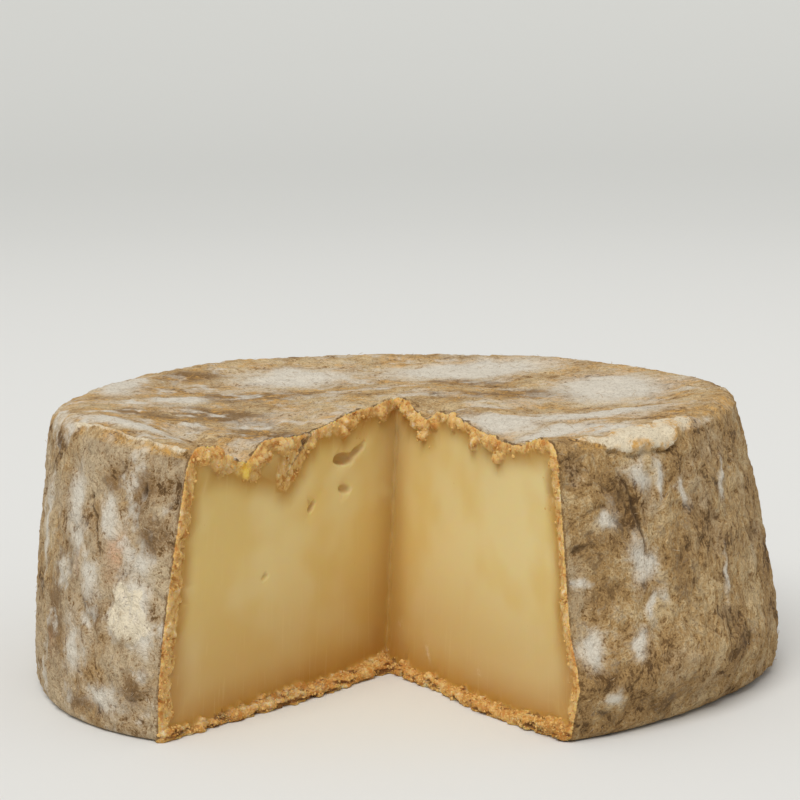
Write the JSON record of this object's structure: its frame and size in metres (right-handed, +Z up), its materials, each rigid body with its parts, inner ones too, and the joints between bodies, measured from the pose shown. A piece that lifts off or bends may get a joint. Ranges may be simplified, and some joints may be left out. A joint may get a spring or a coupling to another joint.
{
  "type": "cheese wheel",
  "caption": "Small natural-rind cheese wheel with one wedge cut out, standing on its flat underside.",
  "frame": {"origin": "middle of the wheel's box, on the surface it stands on", "axes": "+Z up through the wheel; the cut wedge opens towards -Y; +X to the right of someone facing the cut"},
  "size_m": [0.1996, 0.189, 0.0744],
  "materials": {
    "rind": "matte",
    "paste": "satin"
  },
  "bodies": {
    "root": {"cheese_wheel": "rind"}
  },
  "joints": []
}
